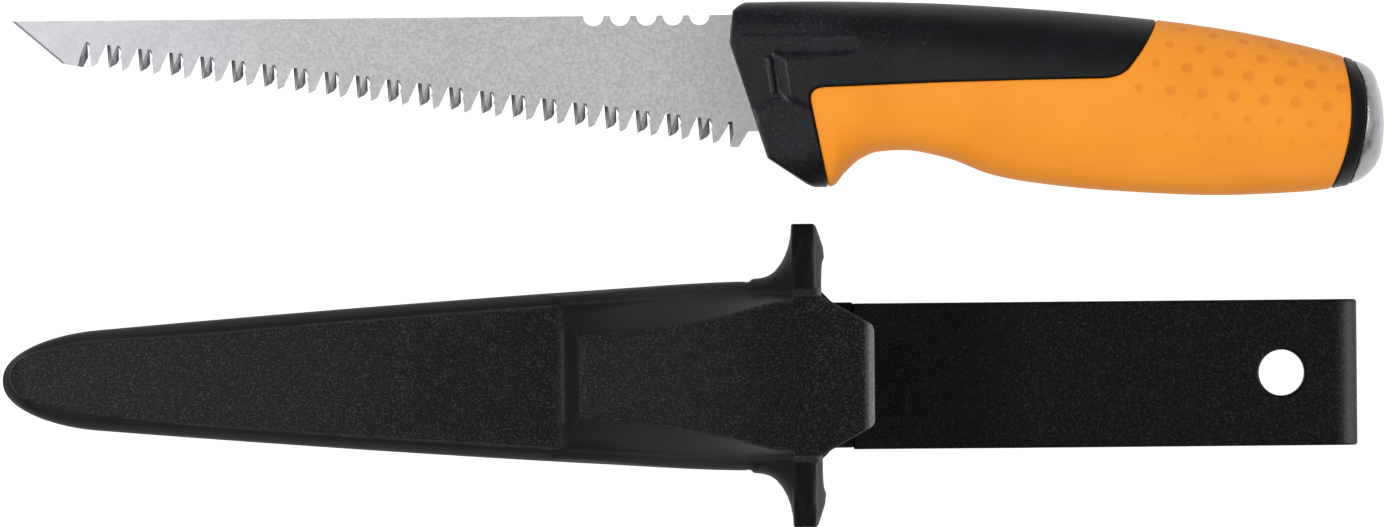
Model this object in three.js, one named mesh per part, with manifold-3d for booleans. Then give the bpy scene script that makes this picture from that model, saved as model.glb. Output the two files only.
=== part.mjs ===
// Drywall saw with its belt sheath, lying side by side on a flat surface.
// Millimetres, +Z up, +X along the handle, +Y from the sheath towards the saw.
// The saw's own origin is where the blade's spine enters the handle.
// The sheath's own origin is on its axis, at the near edge of the mouth flange.

import * as THREE from 'three';
import { mergeVertices } from 'three/addons/utils/BufferGeometryUtils.js';
import Module from 'manifold-3d';

const wasm = await Module();
wasm.setup();

// ---------------------------------------------------------------- dimensions

const FIT_GAP = 0.3;             // clearance between pieces that touch
const OUTSIDE = 60;              // reach of a cutting prism past the part

// placing of the two halves of the set
const SAW_OFFSET = [-11.9, 73.9];  // saw origin seen from the sheath origin
const SAW_MID_HEIGHT = 14;         // middle plane of the saw above the surface

// blade
const BLADE_THICKNESS = 1.5;
const BLADE_TIP_X = -147.2;
const TIP_EDGE_FOOT = [-136.9, -8.8];
const TIP_BEVEL = 0.32;          // width of the bevel ground along the slanted tip
const FIRST_TOOTH = [-132.7, -9.5];
const TOOTH_PAIRS = 20;
const PAIR_STEP = [6.348, -0.841];   // along the tooth line, 8 teeth to the inch
// one pair of teeth, from the shallow gullet before it
const PAIR_OUTLINE = [
  [-131.3, -6.75], [-131.1, -9.5], [-129.8, -8.85],
  [-128.0, -4.95], [-127.85, -5.05], [-127.5, -9.75], [-125.95, -9.0],
];
const HEEL = [[-0.8, -22.3], [-0.6, -27.05], [1.1, -27.1], [3.1, -23.9]];
const FACET_TOP = [[-125.75, -5.1], [-125.1, -5.3]]; // of the facet behind a tooth
const FACET_CREASE = [-126.8, -7.6];  // where its two facets meet on the tooth
const FACET_WIDTH = 0.8;              // of the facet in front of a tooth
const FAR_TOOTH_STEP = [-3.85, 0.35]; // from a near-ground tooth to the far-ground one before it
const NOTCHES = 5;
const NOTCH_FIRST_X = -28.35;
const NOTCH_STEP = 5.42;
const NOTCH_RADIUS = 2.05;

// tang inside the handle
const TANG_TOP = [[24, 0], [31, -6.5], [108, -15.5]];
const TANG_BOTTOM = [[108, -25.5], [30, -17.5], [22, -23.6]];
const TANG_PINS = [[12, -11], [50, -14], [92, -18.5]];
const PIN_RADIUS = 2.5;
const PIN_HALF_LENGTH = 8;

// handle: top and bottom line, half thickness and squareness along X
const HANDLE_TOP = [
  [-1, 2.5], [14, 2.65], [37, 2.1], [56, 1], [83.5, -1.5], [102, -4.15],
  [120, -8.2], [125, -9.7], [128.7, -11.1], [130.6, -12.4], [131.8, -14], [133.1, -18.6],
];
const HANDLE_BOTTOM = [
  [-1, -35.4], [16, -35.4], [19.3, -35.4], [20.6, -35], [22.5, -32.8], [26, -29.7],
  [29.5, -28.3], [34.5, -28], [43.3, -29.6], [52.5, -33.1], [60, -34.7], [77, -36.65],
  [100, -37.8], [117, -37.2], [126, -35.9], [129.1, -34.5], [130.6, -32.8],
  [131.8, -30], [133.1, -25.8],
];
const HANDLE_HALF = [
  [-1, 9.2], [7, 9.5], [8, 9.8], [12, 13], [17, 14], [36, 12.8], [60, 13.2],
  [92, 14], [112, 13.6], [125, 12.7], [128.7, 12.2], [130.6, 11], [131.8, 9.4], [133.1, 5],
];
const HANDLE_SQUARENESS = [[-1, 4.2], [16, 3.6], [40, 2.7], [90, 2.4], [133.1, 2.3]];
const HANDLE_STATIONS = [
  -1, 3, 7, 8, 12, 16, 19.3, 20.6, 22.5, 24, 26, 29, 34, 40, 46, 52, 60, 70, 80, 90,
  100, 109, 117, 122, 126, 128.7, 130.6, 131.8, 132.6, 133.1,
];
const HANDLE_SIDES = 28;
const BOLSTER_FRONT = [
  [2.1, 8], [2.1, 2.5], [0.1, 0.8], [-0.6, -5.7], [7, -29.35], [15.95, -35.4], [15.95, -45],
];
const GRIP_WALL = 2.5;
const GRIP_CORNER_RADIUS = 3;
const RING_GRIP_ARC = [[123.6, -6], [125.5, -22.6], [120.9, -40]];
const RING_CAP_ARC = [[127.2, -8], [128.6, -22.6], [123.4, -38]];

// striking cap fixing
const STUD_Y = -22.3;
const STUD_RADIUS = 2.5;
const STUD_FROM_X = 112.6;
const STUD_TO_X = 131.2;
const NUT_SIDE = 9;
const NUT_FROM_X = 114;
const NUT_THICKNESS = 4;

// sheath body
const TIP_X = -162;
const TIP_LENGTH = 20.2;
const TIP_RISE = 0.35;            // the body's axis leans this far over its length
const MOUTH_X = 4.6;
const BODY_HALF_WIDTH = [
  [-141.8, 10.2], [-121, 12.05], [-80, 15.15], [-40, 17.8], [-11, 19.3], [30, 19.8],
];
const RIM_WIDTH = 2.4;
const BODY_HEIGHT = [[-162, 6.5], [-156, 9], [-47.3, 15.5], [30, 17.6]];
const RIM_DROP = 3.2;             // fall of the sloping rim from the front face
const BOSS_HALF_WIDTH = [[-43.5, 7.9], [-32.8, 9], [-15.5, 12], [-0.4, 15.5], [30, 15.5]];
const BOSS_HEIGHT = [[-43.5, 18.6], [4, 26.4], [30, 26.4]];
const BOSS_FOOT_X = -47.3;
const BOSS_TOP_X = -43.5;
const BACK_EDGE = 1.4;            // chamfer along the back
const WALL = 2.2;
const MOUTH_FLOOR = 4.4;          // inside of the back wall at the mouth
const TONGUE = [[3, 15.4], [8.4, 14.7], [15.2, 10.9], [16.4, 9.2]];
const TONGUE_CHAMFER = 1.6;

// flange with its two wings
const WING_TIP_Y = 31;
const WING_FILLET = [7.8, 11.6];
const FLANGE_HEIGHT = 19.5;
const FLANGE_SLOPE = [4.6, 6.2];   // far edge at the front face and below it
const ROOT_TAB_HALF = 14.9;
const HINGE_X = 12.2;

// belt strap: a loop folded from one strip
const STRAP_END_X = 115.4;
const STRAP_HALF_WIDTH = 14.95;
const STRAP_AXIS_Y = -0.3;
const STRAP_LEG = 2.2;
const STRAP_HEIGHT = 9.4;
const STRAP_JOIN_X = 18;           // the two legs lie on each other up to here
const STRAP_OPEN_X = 34;           // and stand fully apart from here
const HOLE_X = 99.9;
const HOLE_RADIUS = 4.7;

// ------------------------------------------------------------------- helpers

// A smooth height over X through a few knots (monotone cubic).
function curveThrough(knots) {
  const slopes = knots.map((knot, i) => {
    if (i === 0 || i === knots.length - 1) return 0;
    const before = (knot[1] - knots[i - 1][1]) / (knot[0] - knots[i - 1][0]);
    const after = (knots[i + 1][1] - knot[1]) / (knots[i + 1][0] - knot[0]);
    return before * after <= 0 ? 0 : (2 * before * after) / (before + after);
  });
  const edgeSlope = (i, j) => (knots[j][1] - knots[i][1]) / (knots[j][0] - knots[i][0]);
  slopes[0] = edgeSlope(0, 1);
  slopes[knots.length - 1] = edgeSlope(knots.length - 2, knots.length - 1);
  return (x) => {
    const last = knots.length - 2;
    let i = knots.findIndex((knot) => knot[0] > x) - 1;
    if (i < 0) i = x < knots[0][0] ? 0 : last;
    const [x0, y0] = knots[i];
    const [x1, y1] = knots[i + 1];
    const t = THREE.MathUtils.clamp((x - x0) / (x1 - x0), 0, 1);
    const span = x1 - x0;
    const rise = (2 * t ** 3 - 3 * t ** 2 + 1) * y0 + (3 * t ** 2 - 2 * t ** 3) * y1;
    const lean = (t ** 3 - 2 * t ** 2 + t) * slopes[i] + (t ** 3 - t ** 2) * slopes[i + 1];
    return rise + lean * span;
  };
}

// A closed body through rings of points that all have the same count.
function loft(rings) {
  const count = rings[0].length;
  const positions = rings.flat().flatMap((p) => [p.x, p.y, p.z]);
  const indices = [];
  for (let r = 0; r < rings.length - 1; r += 1) {
    for (let i = 0; i < count; i += 1) {
      const a = r * count + i;
      const b = r * count + ((i + 1) % count);
      indices.push(a, b, b + count, a, b + count, a + count);
    }
  }
  const last = (rings.length - 1) * count;
  for (let i = 1; i < count - 1; i += 1) {
    indices.push(0, i + 1, i);
    indices.push(last, last + i, last + i + 1);
  }
  const geometry = new THREE.BufferGeometry();
  geometry.setAttribute('position', new THREE.Float32BufferAttribute(positions, 3));
  geometry.setIndex(indices);
  return geometry;
}

function toSolid(geometry) {
  const bare = geometry.clone();
  bare.deleteAttribute('normal');
  bare.deleteAttribute('uv');
  const merged = mergeVertices(bare);
  const mesh = new wasm.Mesh({
    numProp: 3,
    vertProperties: new Float32Array(merged.attributes.position.array),
    triVerts: new Uint32Array(merged.index.array),
  });
  return new wasm.Manifold(mesh);
}

function toGeometry(solid) {
  const mesh = solid.getMesh();
  const geometry = new THREE.BufferGeometry();
  geometry.setAttribute('position', new THREE.Float32BufferAttribute(mesh.vertProperties, 3));
  geometry.setIndex(new THREE.Uint32BufferAttribute(mesh.triVerts, 1));
  geometry.computeVertexNormals();
  return geometry;
}

function outline(points) {
  return new THREE.Shape(points.map(([x, y]) => new THREE.Vector2(x, y)));
}

// An outline in XY given height from one Z to another.
function prism(shape, fromZ, toZ, curveSegments = 12) {
  const geometry = new THREE.ExtrudeGeometry(shape, {
    depth: toZ - fromZ, bevelEnabled: false, steps: 1, curveSegments,
  });
  return toSolid(geometry.translate(0, 0, fromZ));
}

// An outline in XZ given width from one Y to another.
function sideProfile(shape, halfWidth) {
  const geometry = new THREE.ExtrudeGeometry(shape, {
    depth: 2 * halfWidth, bevelEnabled: false, steps: 1, curveSegments: 10,
  });
  geometry.rotateX(Math.PI / 2);
  return toSolid(geometry.translate(0, halfWidth, 0));
}

function rodAlongZ(x, y, radius, fromZ, toZ, sides = 20) {
  const geometry = new THREE.CylinderGeometry(radius, radius, toZ - fromZ, sides);
  geometry.rotateX(Math.PI / 2);
  return toSolid(geometry.translate(x, y, (fromZ + toZ) / 2));
}

function rodAlongX(y, z, radius, fromX, toX, sides = 20) {
  const geometry = new THREE.CylinderGeometry(radius, radius, toX - fromX, sides);
  geometry.rotateZ(Math.PI / 2);
  return toSolid(geometry.translate((fromX + toX) / 2, y, z));
}

function block(min, max) {
  const size = max.map((value, i) => value - min[i]);
  const centre = max.map((value, i) => (value + min[i]) / 2);
  return toSolid(new THREE.BoxGeometry(...size).translate(...centre));
}

function material(colour, roughness, metalness) {
  return new THREE.MeshStandardMaterial({ color: colour, roughness, metalness });
}

const BLADE_STEEL = material(0xc4c1c6, 0.42, 0.9);
const CAP_STEEL = material(0xb9b7b3, 0.32, 0.95);
const ZINC_STEEL = material(0xa8a8a4, 0.4, 0.9);
const CORE_BLACK = material(0x202226, 0.5, 0);
const GRIP_ORANGE = material(0xf59930, 0.6, 0);
const SHEATH_BLACK = material(0x2a2c30, 0.62, 0);

function piece(name, solid, look) {
  const mesh = new THREE.Mesh(toGeometry(solid), look);
  mesh.name = name;
  return mesh;
}

// --------------------------------------------------------------------- blade

function shifted([x, y], pairs) {
  return [x + PAIR_STEP[0] * pairs, y + PAIR_STEP[1] * pairs];
}

function bladeOutline() {
  const points = [[BLADE_TIP_X, 0], TIP_EDGE_FOOT, FIRST_TOOTH];
  for (let k = 0; k < TOOTH_PAIRS; k += 1) {
    points.push(...PAIR_OUTLINE.map((point) => shifted(point, k)));
  }
  points.push(...PAIR_OUTLINE.slice(0, 3).map((point) => shifted(point, TOOTH_PAIRS)));
  points.push(...HEEL, ...[...TANG_BOTTOM].reverse(), ...[...TANG_TOP].reverse());
  const notched = outline(points.slice(0, -1));
  notched.lineTo(...TANG_TOP[0]);
  for (let i = NOTCHES - 1; i >= 0; i -= 1) {
    const x = NOTCH_FIRST_X + NOTCH_STEP * i;
    notched.lineTo(x + NOTCH_RADIUS, 0);
    notched.absarc(x, 0, NOTCH_RADIUS, 0, -Math.PI, true);
  }
  return notched;
}

// A wedge that grinds the flank between two inner and two outer points:
// nothing at the inner line, and past the middle plane at the outer one.
function grindingWedge(inner, outer, side, depth = 1.6) {
  const face = (side * BLADE_THICKNESS) / 2;
  const low = face * (1 - depth);
  const high = face + side;
  const at = ([x, y], z) => new THREE.Vector3(x, y, z);
  const ring = [at(inner[0], face), at(inner[1], face), at(outer[1], low), at(outer[0], low)];
  const lifted = [at(inner[0], high), at(inner[1], high), at(outer[1], high), at(outer[0], high)];
  const [from, to] = side > 0 ? [ring, lifted] : [lifted, ring];
  const turn = (inner[1][0] - inner[0][0]) * (outer[0][1] - inner[0][1])
    - (inner[1][1] - inner[0][1]) * (outer[0][0] - inner[0][0]);
  const ordered = turn > 0 ? [from, to] : [from.reverse(), to.reverse()];
  return toSolid(loft(ordered));
}

// Both facets of every tooth, one in front of it and one behind.
// Every second tooth is ground from the near side, the ones between from the far side.
function toothGrinding() {
  const [, , , , gullet, tip, tipEnd] = PAIR_OUTLINE;
  const nextGullet = shifted(PAIR_OUTLINE[0], 1);
  const wedges = [];
  for (let k = -1; k <= TOOTH_PAIRS; k += 1) {
    for (const side of [1, -1]) {
      const move = side > 0 ? [0, 0] : FAR_TOOTH_STEP;
      const at = ([x, y], dx = 0, dy = 0) => shifted([x + move[0] + dx, y + move[1] + dy], k);
      const crease = at(FACET_CREASE);
      const flankOut = at(tipEnd, 0.25, -0.6);
      if (k < TOOTH_PAIRS || side < 0) {
        const [topFront, topBack] = FACET_TOP.map((point) => at(point));
        const foot = at(nextGullet, 0, 0.8);
        wedges.push(grindingWedge([crease, topFront], [flankOut, foot], side));
        wedges.push(grindingWedge([topFront, topBack], [foot, at(nextGullet, 0.1, 0.5)], side));
        wedges.push(grindingWedge([at(tip, 0.05, -0.4), crease], [at(tip, 0.7, -1), flankOut], side));
      }
      if (k >= 0) {
        const narrowInner = [at(gullet, FACET_WIDTH, 0), crease];
        wedges.push(grindingWedge(narrowInner, [at(gullet, -0.1, 0), at(tip, -0.25, -0.3)], side));
      }
    }
  }
  return wedges;
}

function makeBlade() {
  const half = BLADE_THICKNESS / 2;
  let blade = prism(bladeOutline(), -half, half, 14);
  for (const wedge of toothGrinding()) {
    blade = blade.subtract(wedge);
  }
  const alongTip = (x, out) => {
    const slope = TIP_EDGE_FOOT[1] / (TIP_EDGE_FOOT[0] - BLADE_TIP_X);
    return [BLADE_TIP_X + x - out * TIP_BEVEL, slope * x - out * TIP_BEVEL];
  };
  const tipInner = [alongTip(-2, -1), alongTip(TIP_EDGE_FOOT[0] - BLADE_TIP_X, -1)];
  const tipOuter = [alongTip(-2, 0.6), alongTip(TIP_EDGE_FOOT[0] - BLADE_TIP_X, 0.6)];
  blade = blade.subtract(grindingWedge(tipInner, tipOuter, 1, 1));
  blade = blade.subtract(grindingWedge(tipInner, tipOuter, -1, 1));
  for (const [x, y] of TANG_PINS) {
    blade = blade.subtract(rodAlongZ(x, y, PIN_RADIUS + FIT_GAP, -2, 2));
  }
  return blade;
}

// -------------------------------------------------------------------- handle

const topLine = curveThrough(HANDLE_TOP);
const bottomLine = curveThrough(HANDLE_BOTTOM);
const halfThickness = curveThrough(HANDLE_HALF);
const squareness = curveThrough(HANDLE_SQUARENESS);

// The handle's outer form, or the same form shrunk all round by an inset.
function handleForm(inset) {
  const rings = HANDLE_STATIONS.map((x) => {
    const middle = (topLine(x) + bottomLine(x)) / 2;
    const halfHeight = (topLine(x) - bottomLine(x)) / 2 - inset;
    const half = halfThickness(x) - inset;
    const power = 2 / squareness(x);
    const ring = [];
    for (let i = 0; i < HANDLE_SIDES; i += 1) {
      const angle = (2 * Math.PI * (i + 0.5)) / HANDLE_SIDES;
      const c = Math.cos(angle);
      const s = Math.sin(angle);
      const y = middle + halfHeight * Math.sign(c) * Math.abs(c) ** power;
      const z = half * Math.sign(s) * Math.abs(s) ** power;
      ring.push(new THREE.Vector3(x, y, z));
    }
    return ring;
  });
  const bolsterCut = outline([...BOLSTER_FRONT, [OUTSIDE * 3, -45], [OUTSIDE * 3, 8]]);
  return toSolid(loft(rings)).intersect(prism(bolsterCut, -OUTSIDE, OUTSIDE));
}

// Everything behind an arc through three points that spans the handle.
function behindArc(points, shift) {
  const [a, b, c] = points.map(([x, y]) => new THREE.Vector2(x + shift, y));
  const bulge = new THREE.Vector2(2 * b.x - (a.x + c.x) / 2, 2 * b.y - (a.y + c.y) / 2);
  const shape = new THREE.Shape();
  shape.moveTo(a.x, a.y);
  shape.quadraticCurveTo(bulge.x, bulge.y, c.x, c.y);
  shape.lineTo(c.x, -OUTSIDE);
  shape.lineTo(OUTSIDE * 3, -OUTSIDE);
  shape.lineTo(OUTSIDE * 3, OUTSIDE);
  shape.lineTo(a.x, OUTSIDE);
  return prism(shape, -OUTSIDE, OUTSIDE, 14);
}

// Where the soft grip lies: below a nearly straight line, then up over the back.
function gripRegion(grow) {
  const shape = new THREE.Shape();
  const radius = GRIP_CORNER_RADIUS + grow;
  const frontTop = [16.3 - grow, -15.2 + grow];
  shape.moveTo(21.1 - grow, -45);
  shape.lineTo(frontTop[0] + 0.3, frontTop[1] - radius);
  shape.quadraticCurveTo(frontTop[0], frontTop[1], frontTop[0] + radius + 0.6, frontTop[1]);
  shape.lineTo(76 - grow, -14 + grow);
  shape.quadraticCurveTo(79.6 - grow, -14 + grow, 81.2 - grow, -11.9 + grow);
  shape.quadraticCurveTo(85.6 - grow, -6.4, 87.1 - grow, -2);
  shape.lineTo(89 - grow, 20);
  shape.lineTo(OUTSIDE * 3, 20);
  shape.lineTo(OUTSIDE * 3, -45);
  return prism(shape, -OUTSIDE, OUTSIDE, 6);
}

function makeGrip() {
  return handleForm(0)
    .intersect(gripRegion(0))
    .subtract(handleForm(GRIP_WALL))
    .subtract(behindArc(RING_GRIP_ARC, 0));
}

function capFixingSpace() {
  const nutHalf = NUT_SIDE / 2 + FIT_GAP;
  const nutSpace = block(
    [NUT_FROM_X - FIT_GAP, STUD_Y - nutHalf, -nutHalf],
    [NUT_FROM_X + NUT_THICKNESS + FIT_GAP, STUD_Y + nutHalf, nutHalf],
  );
  const bore = rodAlongX(STUD_Y, 0, STUD_RADIUS + FIT_GAP, STUD_FROM_X - FIT_GAP, STUD_TO_X + FIT_GAP);
  return nutSpace.add(bore);
}

// Space for the blade's root and tang, a little larger than they are.
function tangSpace() {
  const half = BLADE_THICKNESS / 2 + FIT_GAP;
  const [topStart, topBend, topEnd] = TANG_TOP;
  const [bottomEnd, bottomBend, bottomStart] = TANG_BOTTOM;
  const space = outline([
    [-3, FIT_GAP], [topStart[0] + FIT_GAP, FIT_GAP], [topBend[0], topBend[1] + 2 * FIT_GAP],
    [topEnd[0] + FIT_GAP, topEnd[1] + FIT_GAP], [bottomEnd[0] + FIT_GAP, bottomEnd[1] - FIT_GAP],
    [bottomBend[0], bottomBend[1] - 2 * FIT_GAP], [bottomStart[0] + FIT_GAP, bottomStart[1] - FIT_GAP],
    [3.2, -24.3], [-3, -24.3],
  ]);
  return prism(space, -half, half);
}

function makeCoreHalf(side) {
  const outer = handleForm(0).subtract(gripRegion(FIT_GAP));
  let core = outer.add(handleForm(GRIP_WALL + FIT_GAP));
  core = core.subtract(behindArc(RING_GRIP_ARC, 0)).subtract(tangSpace()).subtract(capFixingSpace());
  for (const [x, y] of TANG_PINS) {
    const reach = PIN_HALF_LENGTH + FIT_GAP;
    core = core.subtract(rodAlongZ(x, y, PIN_RADIUS + FIT_GAP, -reach, reach));
  }
  const near = FIT_GAP / 2;
  const far = side * OUTSIDE;
  const halfSpace = side > 0
    ? block([-OUTSIDE, -OUTSIDE, near], [OUTSIDE * 3, OUTSIDE, far])
    : block([-OUTSIDE, -OUTSIDE, far], [OUTSIDE * 3, OUTSIDE, -near]);
  return core.intersect(halfSpace);
}

function makeButtRing() {
  return handleForm(0)
    .intersect(behindArc(RING_GRIP_ARC, FIT_GAP))
    .subtract(behindArc(RING_CAP_ARC, 0))
    .subtract(capFixingSpace());
}

function makeStrikeCap() {
  return handleForm(0).intersect(behindArc(RING_CAP_ARC, FIT_GAP)).subtract(capFixingSpace());
}

function makeCapNut() {
  const half = NUT_SIDE / 2;
  const body = block(
    [NUT_FROM_X, STUD_Y - half, -half],
    [NUT_FROM_X + NUT_THICKNESS, STUD_Y + half, half],
  );
  const hole = rodAlongX(STUD_Y, 0, STUD_RADIUS + FIT_GAP, NUT_FROM_X - 1, NUT_FROM_X + NUT_THICKNESS + 1);
  return body.subtract(hole);
}

function makeSaw() {
  const saw = new THREE.Group();
  saw.add(piece('blade', makeBlade(), BLADE_STEEL));
  saw.add(piece('core_left', makeCoreHalf(1), CORE_BLACK));
  saw.add(piece('core_right', makeCoreHalf(-1), CORE_BLACK));
  TANG_PINS.forEach(([x, y], i) => {
    const pin = rodAlongZ(x, y, PIN_RADIUS, -PIN_HALF_LENGTH, PIN_HALF_LENGTH);
    saw.add(piece(`tang_pin_${i + 1}`, pin, ZINC_STEEL));
  });
  saw.add(piece('grip_sleeve', makeGrip(), GRIP_ORANGE));
  saw.add(piece('butt_ring', makeButtRing(), CORE_BLACK));
  saw.add(piece('strike_cap', makeStrikeCap(), CAP_STEEL));
  const stud = rodAlongX(STUD_Y, 0, STUD_RADIUS, STUD_FROM_X, STUD_TO_X);
  saw.add(piece('cap_stud', stud, ZINC_STEEL));
  saw.add(piece('cap_nut', makeCapNut(), ZINC_STEEL));
  return saw;
}

// -------------------------------------------------------------------- sheath

const bodyWidth = curveThrough(BODY_HALF_WIDTH);
const bodyHeight = curveThrough(BODY_HEIGHT);
const bossWidth = curveThrough(BOSS_HALF_WIDTH);
const bossHeight = curveThrough(BOSS_HEIGHT);

function bodyHalfWidth(x) {
  const straightFrom = TIP_X + TIP_LENGTH;
  if (x >= straightFrom) return bodyWidth(x);
  const run = (straightFrom - x) / TIP_LENGTH;
  return bodyWidth(straightFrom) * Math.sqrt(Math.max(1 - run * run, 0.004));
}

// One section of the sheath: back, sides, sloping rim, front face and boss.
function sheathSection(x, wall, floor) {
  const half = Math.max(bodyHalfWidth(x) - wall, 0.4);
  const height = bodyHeight(x) - wall;
  const rimHalf = Math.max(half - RIM_WIDTH, half * 0.6);
  const rimDrop = Math.min(RIM_DROP, height * 0.4);
  const onBoss = x >= BOSS_TOP_X;
  const bossHalf = onBoss ? bossWidth(x) - wall * 0.7 : Math.min(9.2, rimHalf * 0.8);
  const frontHeight = onBoss ? bossHeight(x) - wall : height;
  const edge = wall > 0 ? 0.2 : BACK_EDGE;
  const right = [
    [half - edge, floor], [half, floor + edge], [half, height - rimDrop],
    [rimHalf, height], [bossHalf, frontHeight],
  ];
  const left = right.map(([y, z]) => [-y, z]).reverse();
  const axis = (TIP_RISE * (MOUTH_X - Math.min(x, MOUTH_X))) / (MOUTH_X - TIP_X);
  return [...right, ...left].map(([y, z]) => new THREE.Vector3(x, y + axis, z));
}

function sheathStations(fromX, toX) {
  const stations = [];
  for (let i = 0; i <= 9; i += 1) {
    const angle = (Math.PI / 2) * (i / 9);
    stations.push(TIP_X + TIP_LENGTH * (1 - Math.cos(angle)));
  }
  for (let x = -128; x < BOSS_FOOT_X - 4; x += 15) stations.push(x);
  stations.push(BOSS_FOOT_X, BOSS_TOP_X, -36, -28, -20, -12, -5, toX);
  return stations.filter((x) => x >= fromX);
}

function sheathBody() {
  return toSolid(loft(sheathStations(TIP_X, MOUTH_X).map((x) => sheathSection(x, 0, 0))));
}

function sheathCavity() {
  const inside = sheathStations(TIP_X + WALL, 30);
  return toSolid(loft(inside.map((x) => {
    const run = (x - TIP_X) / (MOUTH_X - TIP_X);
    return sheathSection(x, WALL, THREE.MathUtils.lerp(WALL, MOUTH_FLOOR, Math.min(run, 1)));
  })));
}

// The flange round the mouth, swept out into two wings; its far face leans back.
function flange() {
  const [frontX, backX] = FLANGE_SLOPE;
  const [reach, rise] = WING_FILLET;
  const filletX = -8;
  const foot = WING_TIP_Y - rise;
  const shape = new THREE.Shape();
  shape.moveTo(filletX, -foot);
  shape.absellipse(filletX, -WING_TIP_Y, reach, rise, Math.PI / 2, 0, true, 0);
  shape.lineTo(backX - 0.6, -WING_TIP_Y);
  shape.lineTo(backX, -WING_TIP_Y + 0.8);
  shape.lineTo(backX, WING_TIP_Y - 0.8);
  shape.lineTo(backX - 0.6, WING_TIP_Y);
  shape.lineTo(filletX + reach, WING_TIP_Y);
  shape.absellipse(filletX, WING_TIP_Y, reach, rise, 0, -Math.PI / 2, true, 0);
  const slope = outline([
    [frontX, FLANGE_HEIGHT + 0.01], [frontX - 0.4, FLANGE_HEIGHT + 1], [backX + 1, FLANGE_HEIGHT + 1],
    [backX + 1, FLANGE_HEIGHT - 6.5],
  ]);
  return prism(shape, 0, FLANGE_HEIGHT, 7).subtract(sideProfile(slope, OUTSIDE));
}

function tongue() {
  const lower = TONGUE.map(([x, y]) => [x, -y]).reverse();
  const top = bossHeight(MOUTH_X);
  const plate = prism(outline([...lower, ...TONGUE]), top - WALL, top);
  const end = TONGUE[TONGUE.length - 1][0];
  const chamfer = outline([
    [end - TONGUE_CHAMFER, top + 1], [end - TONGUE_CHAMFER, top], [end + 1, top - TONGUE_CHAMFER],
    [end + 2, top + 1],
  ]);
  return plate.subtract(sideProfile(chamfer, OUTSIDE));
}

// The stub of the back wall that the belt strap hangs on, webbed into the wings.
function rootTab() {
  const webFrom = 5;
  const web = 3.2;
  const shape = new THREE.Shape();
  const end = HINGE_X - FIT_GAP / 2;
  shape.moveTo(webFrom, -ROOT_TAB_HALF - web);
  shape.quadraticCurveTo(webFrom + 1.6, -ROOT_TAB_HALF, webFrom + 5, -ROOT_TAB_HALF);
  shape.lineTo(end, -ROOT_TAB_HALF);
  shape.lineTo(end, ROOT_TAB_HALF);
  shape.lineTo(webFrom + 5, ROOT_TAB_HALF);
  shape.quadraticCurveTo(webFrom + 1.6, ROOT_TAB_HALF, webFrom, ROOT_TAB_HALF + web);
  return prism(shape, 0, MOUTH_FLOOR, 5);
}

// The parting surface climbs with the blade's plane from the tip to the mouth.
function partingHalf(side) {
  const atTip = 4.6;
  const atMouth = 14.4;
  const slope = (atMouth - atTip) / (MOUTH_X - TIP_X);
  const height = (x) => atTip + slope * (x - TIP_X) + (side * FIT_GAP) / 2;
  const fromX = TIP_X - 5;
  const toX = 40;
  const far = side * OUTSIDE;
  const profile = outline([[fromX, height(fromX)], [toX, height(toX)], [toX, far], [fromX, far]]);
  return sideProfile(profile, OUTSIDE);
}

const wholeSheath = sheathBody().add(flange()).add(tongue()).add(rootTab()).subtract(sheathCavity());

// The strap's loop seen from the side: legs together at the root, apart at the belt.
function strapProfile() {
  const top = STRAP_HEIGHT;
  const rootTop = MOUTH_FLOOR;
  const start = HINGE_X + FIT_GAP / 2;
  const round = STRAP_HEIGHT / 2;
  const bend = (STRAP_JOIN_X + STRAP_OPEN_X) / 2;
  const shape = new THREE.Shape();
  shape.moveTo(start, 0);
  shape.lineTo(STRAP_END_X - round, 0);
  shape.absarc(STRAP_END_X - round, round, round, -Math.PI / 2, Math.PI / 2, false);
  shape.lineTo(STRAP_OPEN_X, top);
  shape.bezierCurveTo(bend, top, bend, rootTop, STRAP_JOIN_X, rootTop);
  shape.lineTo(start, rootTop);
  const gap = new THREE.Path();
  const inner = round - STRAP_LEG;
  gap.moveTo(STRAP_JOIN_X, STRAP_LEG);
  gap.bezierCurveTo(bend, STRAP_LEG + 0.05, bend, top - STRAP_LEG, STRAP_OPEN_X, top - STRAP_LEG);
  gap.lineTo(STRAP_END_X - round, top - STRAP_LEG);
  gap.absarc(STRAP_END_X - round, round, inner, Math.PI / 2, -Math.PI / 2, true);
  shape.holes.push(gap);
  return shape;
}

function makeStrap() {
  const loop = sideProfile(strapProfile(), STRAP_HALF_WIDTH).translate(0, STRAP_AXIS_Y, 0);
  return loop.subtract(rodAlongZ(HOLE_X, STRAP_AXIS_Y, HOLE_RADIUS, -1, STRAP_HEIGHT + 1, 36));
}

function makeSheath() {
  const sheath = new THREE.Group();
  sheath.add(piece('sheath_front', wholeSheath.intersect(partingHalf(1)), SHEATH_BLACK));
  sheath.add(piece('sheath_back', wholeSheath.intersect(partingHalf(-1)), SHEATH_BLACK));
  sheath.add(piece('belt_strap', makeStrap(), SHEATH_BLACK));
  return sheath;
}

// ---------------------------------------------------------------------- scene

const group = new THREE.Group();
const saw = makeSaw();
saw.position.set(SAW_OFFSET[0], SAW_OFFSET[1], SAW_MID_HEIGHT);
group.add(saw, makeSheath());

// the origin goes under the middle of the whole set, on the surface
const bounds = new THREE.Box3().setFromObject(group);
const middle = bounds.getCenter(new THREE.Vector3());
group.position.set(-middle.x, -middle.y, -bounds.min.z);

export default group;
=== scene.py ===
import math

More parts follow.
